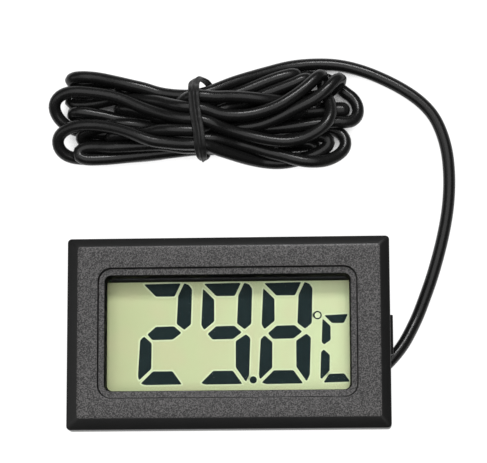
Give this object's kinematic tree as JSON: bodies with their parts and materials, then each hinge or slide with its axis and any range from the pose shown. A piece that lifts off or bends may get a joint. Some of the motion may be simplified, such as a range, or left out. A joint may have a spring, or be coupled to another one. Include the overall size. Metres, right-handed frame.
{
  "type": "digital panel thermometer with remote probe",
  "caption": "Snap-in digital thermometer with a rectangular liquid crystal display, bevelled bezel and a long black probe lead wound into a tied hank.",
  "frame": {"origin": "centre of the back face of the case, on the surface that it lies on", "axes": "+X along the long side to the right of the display, +Y to the top of the display, +Z out of the display"},
  "size_m": [0.0632, 0.0593, 0.0152],
  "materials": {
    "case_plastic": "fine spark-eroded texture on the face, satin elsewhere",
    "display_film": "clear polarizing film, satin",
    "display_glass": "thin clear sheet glass",
    "display_reflector": "pale green-grey reflector film",
    "contact_rubber": "matte silicone rubber",
    "foam": "matte foam",
    "laminate": "green solder mask",
    "epoxy": "glossy black epoxy",
    "steel": "nickel-plated",
    "ceramic_tan": "sintered ceramic",
    "nylon": "natural nylon",
    "wire_red": "insulation",
    "wire_black": "insulation",
    "lead_sheath": "semi-gloss black vinyl",
    "tie_vinyl": "satin black vinyl strip",
    "probe_shell": "smooth black dipped epoxy"
  },
  "bodies": {
    "case": {"front_bezel": "case_plastic", "rear_case": "case_plastic", "lcd_front_polarizer": "display_film", "lcd_front_glass": "display_glass", "lcd_rear_glass": "display_glass", "lcd_reflector": "display_reflector", "zebra_strip": "contact_rubber", "lcd_cushion": "foam", "circuit_board": "laminate", "board_screw_1": "steel", "board_screw_2": "steel", "board_screw_3": "steel", "board_screw_4": "steel", "chip_blob": "epoxy", "crystal_can": "steel", "chip_capacitor_1": "ceramic_tan", "chip_capacitor_2": "ceramic_tan", "chip_resistor_1": "epoxy", "chip_resistor_2": "epoxy", "cell_1_can": "steel", "cell_1_gasket": "contact_rubber", "cell_1_cap": "steel", "cell_2_can": "steel", "cell_2_gasket": "contact_rubber", "cell_2_cap": "steel", "contact_positive": "steel", "contact_negative": "steel", "lead_inner_end": "lead_sheath", "lead_anchor_tie": "nylon", "conductor_a": "wire_red", "conductor_b": "wire_black", "lead_cable": "lead_sheath", "cable_hank": "lead_sheath", "twist_tie": "tie_vinyl", "probe_tip": "probe_shell", "thermistor_bead": "epoxy"},
    "door": {"battery_door": "case_plastic", "bridge_contact": "steel"},
    "left_latch": {"latch_left": "case_plastic"},
    "right_latch": {"latch_right": "case_plastic"}
  },
  "joints": [
    {"name": "door_slide", "type": "slide", "parent": "case", "child": "door", "axis": [0, -1, 0], "range_m": [0, 0.016]},
    {"name": "left_latch_flex", "type": "hinge", "parent": "case", "child": "left_latch", "pos_m": [-0.0224, 0, 0.005], "axis": [0, 1, 0], "range_deg": [0, 17], "stiffness_Nm_per_rad": 0.02},
    {"name": "right_latch_flex", "type": "hinge", "parent": "case", "child": "right_latch", "pos_m": [0.0224, 0, 0.005], "axis": [0, -1, 0], "range_deg": [0, 17], "stiffness_Nm_per_rad": 0.02}
  ]
}
